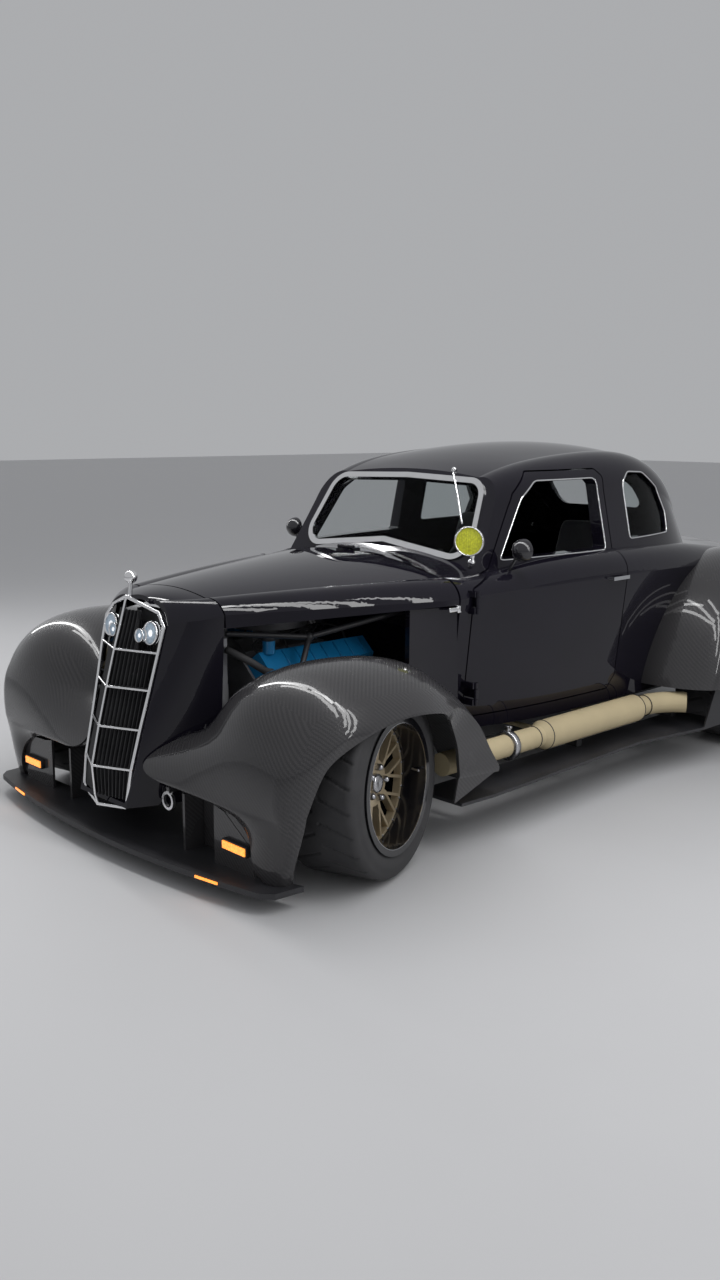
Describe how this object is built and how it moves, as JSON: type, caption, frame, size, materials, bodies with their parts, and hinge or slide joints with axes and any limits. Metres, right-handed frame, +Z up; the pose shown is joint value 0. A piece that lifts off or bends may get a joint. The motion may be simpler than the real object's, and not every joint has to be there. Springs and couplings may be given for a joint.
{
  "type": "hot rod coupe",
  "caption": "Chopped vintage coupe with wide carbon fenders, V grille, open engine sides, side exhausts and deep mesh wheels.",
  "frame": {"origin": "on the floor under the middle of the bounding box", "axes": "+X is the car's left, +Y points to the tail, +Z is up"},
  "size_m": [2.108, 4.16, 1.4746],
  "materials": {
    "gloss_black": "deep gloss black paint",
    "carbon": "clear coated woven carbon",
    "satin_black": "satin black composite",
    "grille_black": "satin black",
    "bright": "polished chrome",
    "lamp_clear": "clear lamp lens",
    "amber": "lit amber lens",
    "red_lamp": "red lens",
    "yellow_lamp": "yellow lens",
    "sand_coat": "matt sand ceramic coat",
    "engine_blue": "gloss blue enamel",
    "cast": "cast metal",
    "alloy": "brushed alloy",
    "clear_glass": "clear glass",
    "trim_dark": "dark leather",
    "frame_black": "satin black steel",
    "rim_bronze": "bronze centre with gloss black barrel",
    "tyre": "black rubber"
  },
  "bodies": {
    "chassis": {"chassis_frame": "frame_black", "body_shell": "gloss_black", "nose_shell": "gloss_black", "grille_slats": "grille_black", "grille_trim": "bright", "headlamps": "lamp_clear", "front_fenders": "carbon", "rear_fenders": "carbon", "splitter": "satin_black", "valance": "carbon", "marker_lamps": "amber", "side_skirts": "satin_black", "exhausts": "sand_coat", "engine": "cast", "valve_covers": "engine_blue", "radiator": "alloy", "engine_braces": "alloy", "windscreen": "clear_glass", "cab_windows": "clear_glass", "windscreen_trim": "bright", "seats": "trim_dark", "dashboard": "gloss_black", "steering_column": "frame_black", "tail_lamps": "red_lamp", "front_suspension": "frame_black", "rear_axle": "cast", "spot_lamp": "yellow_lamp", "wheelhouses": "satin_black"},
    "hood": {"hood": "gloss_black"},
    "door_left": {"door_left": "gloss_black", "door_trim_left": "bright"},
    "door_right": {"door_right": "gloss_black", "door_trim_right": "bright"},
    "deck_lid": {"deck_lid": "gloss_black"},
    "knuckle_left": {"knuckle_left": "cast"},
    "knuckle_right": {"knuckle_right": "cast"},
    "steering_wheel": {"steering_wheel": "trim_dark"},
    "wheel_front_left": {"wheel_front_left": "rim_bronze", "tyre_front_left": "tyre"},
    "wheel_front_right": {"wheel_front_right": "rim_bronze", "tyre_front_right": "tyre"},
    "wheel_rear_left": {"wheel_rear_left": "rim_bronze", "tyre_rear_left": "tyre"},
    "wheel_rear_right": {"wheel_rear_right": "rim_bronze", "tyre_rear_right": "tyre"}
  },
  "joints": [
    {"name": "steer_left", "type": "hinge", "parent": "chassis", "child": "knuckle_left", "pos_m": [0.726, -1.52, 0.32975], "axis": [0, 0, 1], "range_deg": [-43, 7]},
    {"name": "steer_right", "type": "hinge", "parent": "chassis", "child": "knuckle_right", "pos_m": [-0.726, -1.52, 0.32975], "axis": [0, 0, 1], "range_deg": [-43, 7]},
    {"name": "steering_wheel_turn", "type": "hinge", "parent": "chassis", "child": "steering_wheel", "pos_m": [0.33, -0.31, 0.88], "axis": [0, 0.9647, 0.2634], "range_deg": [-516, 84]},
    {"name": "spin_front_left", "type": "hinge", "parent": "knuckle_left", "child": "wheel_front_left", "pos_m": [0.81635, -1.49064, 0.32975], "axis": [0.9502, 0.3087, 0.0436], "continuous": true},
    {"name": "spin_front_right", "type": "hinge", "parent": "knuckle_right", "child": "wheel_front_right", "pos_m": [-0.81635, -1.54936, 0.32975], "axis": [0.9502, 0.3087, -0.0436], "continuous": true},
    {"name": "spin_rear_left", "type": "hinge", "parent": "chassis", "child": "wheel_rear_left", "pos_m": [0.815, 1.15, 0.345], "axis": [1, 0, 0], "continuous": true},
    {"name": "spin_rear_right", "type": "hinge", "parent": "chassis", "child": "wheel_rear_right", "pos_m": [-0.815, 1.15, 0.345], "axis": [1, 0, 0], "continuous": true},
    {"name": "door_left_hinge", "type": "hinge", "parent": "chassis", "child": "door_left", "pos_m": [0.69, -0.738, 0.684], "axis": [0, 0, -1], "range_deg": [0, 65]},
    {"name": "door_right_hinge", "type": "hinge", "parent": "chassis", "child": "door_right", "pos_m": [-0.69, -0.738, 0.684], "axis": [0, 0, 1], "range_deg": [0, 65]},
    {"name": "hood_hinge", "type": "hinge", "parent": "chassis", "child": "hood", "pos_m": [0, -0.802, 1.038], "axis": [-1, 0, 0], "range_deg": [0, 45]},
    {"name": "deck_lid_hinge", "type": "hinge", "parent": "chassis", "child": "deck_lid", "pos_m": [0, 1.25, 0.996], "axis": [1, 0, 0], "range_deg": [0, 50]}
  ],
  "couplings": [
    {"joint": "steer_right", "follows": "steer_left", "ratio": 1},
    {"joint": "steering_wheel_turn", "follows": "steer_left", "ratio": 12}
  ]
}
